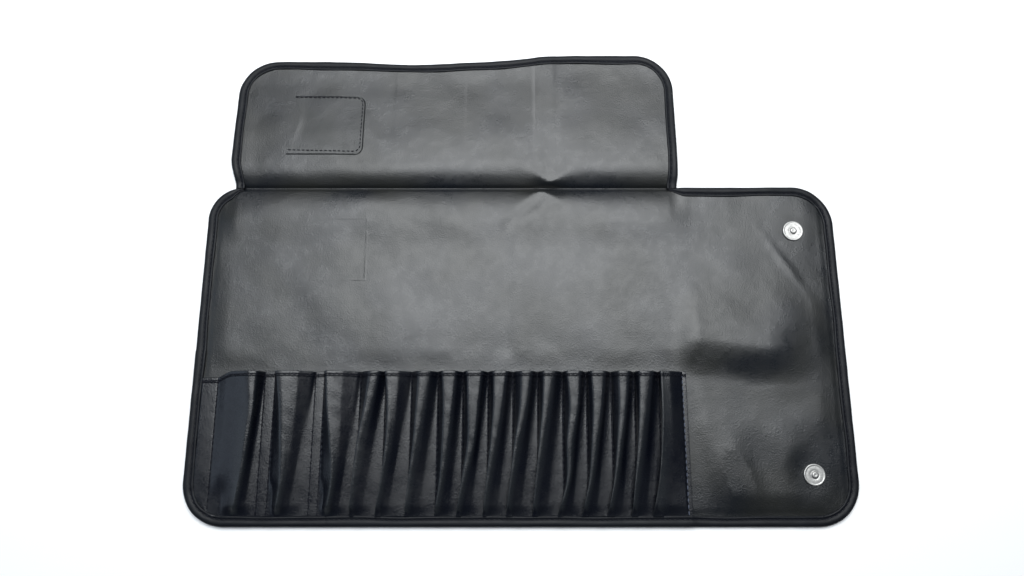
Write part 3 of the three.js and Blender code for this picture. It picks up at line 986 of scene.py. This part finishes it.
def make_case_tape():
    cuts = [np.array([x, FRONT]) for x in MIDDLES[1:-1]] + [np.array([MIDDLES[7], FOLD])]

    def emit(part, rings, normals, sewn):
        is_back = part == 8
        index = 6 if is_back else part
        label = "back" if is_back else str(part + 1)
        tape = tube(f"edge_tape_{label}", rings, TAPE, normals)
        seam = stitches(f"edge_stitches_{label}", *sewn, THREAD)
        if is_back:
            nodes = ["edge_tape_back_wrap_1"]
        elif part == 7:
            nodes = ["edge_tape_front_wrap_1", "edge_tape_wrap_2"]
        else:
            nodes = [f"edge_tape_panel_{part + 1}"]
        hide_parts(*nodes)
        for piece in (tape, seam):
            across_bend(piece, index)

    tape_pieces(case_tape_path(), cuts, True, emit)


def make_flap_tape():
    cuts = [np.array([x, FAR]) for x in BENDS[5::-1]]

    def emit(part, rings, normals, sewn):
        k = 7 - part
        tape = tube(f"flap_tape_{k}", rings, TAPE, normals)
        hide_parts(f"flap_edge_tape_{k}")
        seam = stitches(f"flap_stitches_{k}", *sewn, THREAD)
        for piece in (tape, seam):
            squash_flap(piece, k)

    tape_pieces(flap_tape_path(), cuts, False, emit)


# ---- brush pockets


def mouth_at(s):
    """The y of the pocket panel's upper edge. It was sewn a little low at its left end."""
    return MOUTH - 5.2 * (1 - smooth((s - 19) / 17))


def crest_at(crests, t):
    """The crest's place at each t, by a smooth curve through its five values."""
    values = np.array(crests)
    slopes = np.gradient(values)
    place = np.clip(t, 0, 1) * (len(values) - 1)
    i = min(int(place), len(values) - 2)
    u = place - i
    a, b, da, db = values[i], values[i + 1], slopes[i], slopes[i + 1]
    return (a * (1 + 2 * u) * (1 - u) ** 2 + b * u * u * (3 - 2 * u)
            + da * u * (1 - u) ** 2 - db * u * u * (1 - u))


def soften(section, passes):
    """Rounds a section's corners and leaves its two ends in place."""
    for _ in range(passes):
        inner = (section[:-2] + 2 * section[1:-1] + section[2:]) / 4
        section = np.concatenate([section[:1], inner, section[-1:]])
    return section


def pocket_section(pocket, t, count):
    """Points (s, height) across one pocket at t, which is 0 at its mouth and 1 at the seam."""
    left, right, crests, crest_width, fold_reach = pocket
    crest = crest_at(crests, t)
    half = lerp(crest_width, 0.45, min(1, t * 1.05) ** 0.75)
    pressed = float(smooth((1 - t) * POCKET_LENGTH / 10))
    height = POCKET_HEIGHT * (1 + 0.2 * float(smooth((right - left - 25) / 8)))
    height *= (1 - 0.44 * t ** 1.4) * lerp(0.12, 1, pressed)
    foot = lerp(right - 1.2, min(crests[-1] + fold_reach, right - 1.2), t)
    foot = max(foot, crest + half + 1.5)
    gap = crest - half - left
    flatten = float(smooth((t - 0.68) / 0.24))
    if gap > 0:
        low = 0.34 * (1 - flatten * smooth((gap - 5) / 6))
        wall = (left + lerp(0.3, 0.5, flatten) * gap, height * max(low, 0.08))
    else:
        wall = (left - 0.2 + 0.25 * gap, 0.45 * height)
    shoulder = (lerp(crest + half, foot, lerp(0.42, 0.5, t)), lerp(0.82, 0.5, t) * height)
    knee = (foot, 0.18 * height + 0.1)
    heel = (lerp(foot, right, 0.34), 0.07 * height + 0.1)
    points = np.array([
        (left, 0), (left + 1.1, 0.04), wall, (crest - half, 0.94 * height), (crest, height),
        (crest + half, 0.94 * height), shoulder, knee, heel, (lerp(foot, right, 0.68), 0.1),
        (right - 0.5, 0.03), (right, 0),
    ])
    reach = lengths_along(points)
    section = at_reach(points, reach, np.linspace(0, reach[-1], count))
    spacing = reach[-1] / (count - 1)
    passes = int(round(2 * (lerp(0.95, 0.55, t) / spacing) ** 2))
    return soften(section, max(passes, 1))


def flat_section(left, right, count, crown=0.12):
    """Points (s, height) across a flat strip that is a little higher in its middle."""
    s = np.linspace(left, right, count)
    return np.stack([s, crown * np.sin(np.linspace(0, math.pi, count))], -1)


def hem_offset(d):
    """How far the leather's outer face stands out at a distance below the mouth."""
    turned = 0.5 * (1 - smooth((d - HEM_DEPTH) / 0.3))
    groove = 0.42 * bell((d - HEM_STITCH) / 0.32)
    rounded = 0.75 * (1 - math.sqrt(max(0, 1 - max(0, 1 - d / 0.7) ** 2)))
    return turned - groove - rounded


POCKET_ROWS = np.concatenate([
    [0, 0.1, 0.3, 0.65, 1.2, 2.0, 2.6, 2.9, 3.2, 3.5, 3.8, 4.05, 4.3, 5.0, 6.2],
    np.linspace(8, POCKET_LENGTH - 11, 34), POCKET_LENGTH - np.linspace(9.6, 0, 12),
])


def pocket_piece(name, section_of, count):
    """A pocket's leather as a closed sheet, and its hem line for the stitches."""
    rings, painted_highlight_share = [], []
    hem_line = None
    for d in POCKET_ROWS:
        t = float(np.clip(d / POCKET_LENGTH, 0, 1))
        section = section_of(t, count)
        tangent = unit(np.gradient(section, axis=0))
        normal = np.stack([-tangent[:, 1], tangent[:, 0]], -1)
        # Painted highlight: a lighter base colour along each pocket's crest, stronger towards the seam,
        # and on the rounded lip at its mouth, where light catches.
        painted_highlight = smooth(section[:, 1] / max(section[:, 1].max(), 1.5) * 2.2 - 1.25)
        painted_highlight = painted_highlight * (0.25 + 0.75 * t)
        painted_highlight = np.maximum(painted_highlight, 0.9 * math.exp(-((d - 0.4) / 0.5) ** 2))
        outer = section + normal * hem_offset(d)
        close_in = 0.3 * max(0, 1 - d / 0.5)
        inner = soften(section - normal * (POCKET_THICKNESS - close_in), 3)
        s = np.concatenate([outer[:, 0], inner[::-1, 0]])
        z = np.concatenate([outer[:, 1], inner[::-1, 1]]) + POCKET_BASE
        y = mouth_at(s) - d * (mouth_at(s) - POCKET_TAIL) / POCKET_LENGTH
        shiver = 0.1 * ripple(s, y, 13, 3.3) * smooth((z - POCKET_BASE - 1) / 3)
        z = np.maximum(z + shiver, LINING_TOP + 0.04)
        ring = np.stack([along(s), y, z], -1)
        rings.append(ring)
        painted_highlight_share.append(np.concatenate([painted_highlight, 0 * painted_highlight]))
        if hem_line is None and d >= HEM_STITCH:
            hem_line = (ring[:count], np.stack([normal[:, 0], 0 * normal[:, 0], normal[:, 1]], -1))
    piece = tube(name, np.array(rings), POCKET, painted_highlight_share=np.concatenate(painted_highlight_share))
    return piece, hem_line


def seam_line(s):
    """Where the stitches of a pocket's side seam lie."""
    d = steps(1.4, POCKET_LENGTH - 1, 3)
    y = mouth_at(s) - d * (mouth_at(s) - POCKET_TAIL) / POCKET_LENGTH
    return np.stack([np.full_like(y, along(s)), y, np.full_like(y, POCKET_BASE + 0.12)], -1)


def hold_pocket(piece, left, right):
    """Rides a pocket on its panel, or bakes its transform in place if it meets a bend line."""
    for index, bend in enumerate(BENDS[:6]):
        before, after = BEND_ZONES[index]
        if along(left) < bend + after - 0.5 and along(right) > bend - before + 0.5:
            across_bend(piece, index)
            return
    middle = along((left + right) / 2)
    index = int(np.searchsorted(BENDS, middle))
    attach(piece, BODIES[index])


def sew_hem(name, hem_line, left, right):
    line, normals = hem_line
    places, tangents, at = evenly(line)
    ups = unit(at_reach(normals, lengths_along(line), at))
    seam = stitches(name, places + ups * 0.22, tangents, ups, THREAD)
    hold_pocket(seam, left, right)


def make_pockets():
    corner_room = CORNER - POCKET_START
    made = []
    for number, pocket in enumerate(POCKETS, 1):
        left, right = pocket[0], pocket[1]
        count = int(np.clip((right - left) * 2.6, 56, 96))

        def section_of(t, size, pocket=pocket):
            return pocket_section(pocket, t, size)

        piece, hem = pocket_piece(f"pocket_{number}", section_of, count)
        made.append((piece, hem, left, right, f"hem_stitches_{number}"))
    for number, (left, right) in enumerate(POCKET_STRIPS, 1):

        def section_of(t, size, span=(left, right)):
            up = max(0.0, CORNER + FRONT - lerp(MOUTH, POCKET_TAIL, t))
            corner_edge = CORNER - math.sqrt(max(0.0, corner_room ** 2 - up ** 2))
            return flat_section(max(span[0], corner_edge), span[1], size)

        piece, hem = pocket_piece(f"pocket_strip_{number}", section_of, 12)
        made.append((piece, hem, left, right, f"strip_stitches_{number}"))
    for piece, hem, left, right, stitch_name in made:
        hold_pocket(piece, left, right)
        sew_hem(stitch_name, hem, left, right)
        cut_width = float(lengths_along(hem[0])[-1])
        if cut_width >= SMALLEST_SHEET:
            declare_sheet(piece, cut_width, POCKET_LENGTH)
    for k in range(1, 8):
        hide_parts(f"brush_pockets_{k}")


def make_pocket_seams():
    lines = sorted({edge for pocket in POCKETS for edge in pocket[:2]})
    for number, s in enumerate(lines, 1):
        places, tangents, _ = evenly(seam_line(s), SEAM_PITCH)
        colour = PALE_THREAD if number == len(lines) else THREAD
        sewn = (places, tangents, upright(len(places)))
        seam = stitches(f"pocket_seam_{number}", *sewn, colour, SEAM_PITCH)
        hold_pocket(seam, s - 0.4, s + 0.4)


# ---- flap patch


def patch_left_edge(y):
    """The x of the patch's open left end, which curves in."""
    t = (y - PATCH_NEAR) / (PATCH_FAR - PATCH_NEAR)
    return PATCH_LEFT + 9 * np.sin(np.clip(t, 0, 1) * math.pi * 0.82) ** 1.4


def patch_right_edge(y):
    """The x of the patch's right edge, with its two rounded corners."""
    r = PATCH_CORNER
    up = np.maximum(y - (PATCH_FAR - r), 0)
    down = np.maximum(PATCH_NEAR + r - y, 0)
    far = np.minimum(np.hypot(up, down), r)
    return PATCH_RIGHT - (r - np.sqrt(r * r - far * far))


def patch_top(x, y):
    sewn_edge = np.minimum(np.minimum(patch_right_edge(y) - x, PATCH_FAR - y), y - PATCH_NEAR)
    open_end = 0.55 * bell((x - patch_left_edge(y)) / 4) * bell((y - FOLD - 66) / 22)
    return flap_top(x, y) + 0.08 + PATCH_THICKNESS * smooth(sewn_edge / 0.8) + open_end


def patch_under(x, y):
    return flap_top(x, y) + 0.04


def make_patch():
    rows = PATCH_NEAR + np.concatenate([
        [0.02, 0.3, 0.8, 1.5, 2.4, 3.6], np.linspace(5, PATCH_FAR - PATCH_NEAR - 5, 22),
        PATCH_FAR - PATCH_NEAR - np.array([3.6, 2.4, 1.5, 0.8, 0.3, 0.02]),
    ])
    middle = PANEL_EDGES[2]
    for side, k in (("left", 2), ("right", 3)):
        start = patch_left_edge(rows) if side == "left" else np.full_like(rows, middle)
        end = np.full_like(rows, middle) if side == "left" else patch_right_edge(rows)
        t = np.unique(np.concatenate([np.linspace(0, 1, 18), [0.01, 0.02, 0.98, 0.99]]))
        x, y = grid_between(start, end, rows, t)
        piece = layer(f"flap_patch_{side}_half", x, y, patch_top, patch_under, PATCH)
        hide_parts(f"flap_patch_{side}")
        declare_sheet(piece)
        squash_flap(piece, k)

    sewn = join_runs([
        line_through([(PATCH_LEFT + 1, PATCH_NEAR + 4.6), (middle, PATCH_NEAR + 3.6),
                      (PATCH_RIGHT - 9, PATCH_NEAR + 3.4)]),
        corner(PATCH_RIGHT - 9, PATCH_NEAR + 9.6, 6.2, -90, 0),
        line_through([(PATCH_RIGHT - 2.8, PATCH_NEAR + 9.6), (PATCH_RIGHT - 2.6, PATCH_FAR - 8)]),
        corner(PATCH_RIGHT - 8.6, PATCH_FAR - 8, 6.0, 0, 90),
        line_through([(PATCH_RIGHT - 8.6, PATCH_FAR - 2), (middle, PATCH_FAR - 2),
                      (PATCH_LEFT + 4, PATCH_FAR - 2)]),
    ])
    height = patch_top(sewn[:, 0], sewn[:, 1]) + 0.2
    places, tangents, _ = evenly(np.concatenate([sewn, height[:, None]], -1))
    for side, k in (("left", 2), ("right", 3)):
        chosen = (places[:, 0] < middle) if side == "left" else (places[:, 0] >= middle)
        ups = upright(int(chosen.sum()))
        seam = stitches(f"patch_stitches_{side}", places[chosen], tangents[chosen], ups, THREAD)
        squash_flap(seam, k)


# ---- snaps


def turned(name, profile, node):
    """A nickel solid of revolution over a CAD node, from (radius, height) pairs on the axis."""
    sides = 72
    low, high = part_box(node)
    x, y = (low.x + high.x) / 2 / MM, (low.y + high.y) / 2 / MM
    turn = np.linspace(0, 2 * math.pi, sides, endpoint=False)
    radius = np.array([max(r, 0.02) for r, _ in profile])
    height = np.array([z for _, z in profile])
    rings = np.stack([
        x + radius[:, None] * np.cos(turn),
        y + radius[:, None] * np.sin(turn),
        np.repeat(height[:, None], sides, axis=1),
    ], -1)
    piece = tube(name, rings, NICKEL)
    for polygon in piece.data.polygons:
        polygon.use_smooth = len(polygon.vertices) == 4
    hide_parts(node)
    return piece


STUD_PROFILE = [
    (0, 0.1), (8.4, 0.1), (8.9, 0.3), (9.0, 0.8), (8.95, 1.25), (8.75, 1.52), (8.4, 1.62), (8.0, 1.6),
    (7.65, 1.52), (7.4, 1.42), (7.1, 1.4), (6.7, 1.44), (5.4, 1.46), (4.4, 1.45), (4.0, 1.38),
    (3.7, 1.3), (3.35, 1.28), (3.0, 1.36), (2.8, 1.6), (2.7, 2.2), (2.55, 2.75), (2.2, 3.0),
    (1.6, 3.08), (1.1, 3.06), (0.8, 2.98), (0.5, 2.94), (0, 2.93),
]
SOCKET_PROFILE = [
    (0, 1.6), (2.4, 1.6), (2.9, 1.5), (3.15, 1.2), (3.2, 0.6), (3.35, 0.2), (3.7, 0.06), (4.2, 0.1),
    (4.5, 0.28), (4.9, 0.32), (6.6, 0.26), (7.2, 0.24), (7.6, 0.1), (8.2, 0.04), (8.7, 0.12),
    (9.0, 0.35), (8.9, 0.62), (8.5, 0.75), (6.0, 0.8), (5.9, 1.9), (0, 1.92),
]


def make_snaps():
    stud_base = LINING_TOP + STUD_RELIEF - 0.1
    stud_profile = [(r, z + stud_base) for r, z in STUD_PROFILE]
    for place in ("front", "back"):
        stud = turned(f"stud_{place}", stud_profile, f"snap_stud_{place}")
        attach(stud, "wrap_2")
        socket = turned(f"socket_{place}", SOCKET_PROFILE, f"snap_socket_{place}")
        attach(socket, "panel_3")


make_body()
make_fold_and_flap()
make_case_tape()
make_flap_tape()
make_pockets()
make_pocket_seams()
make_patch()
make_snaps()
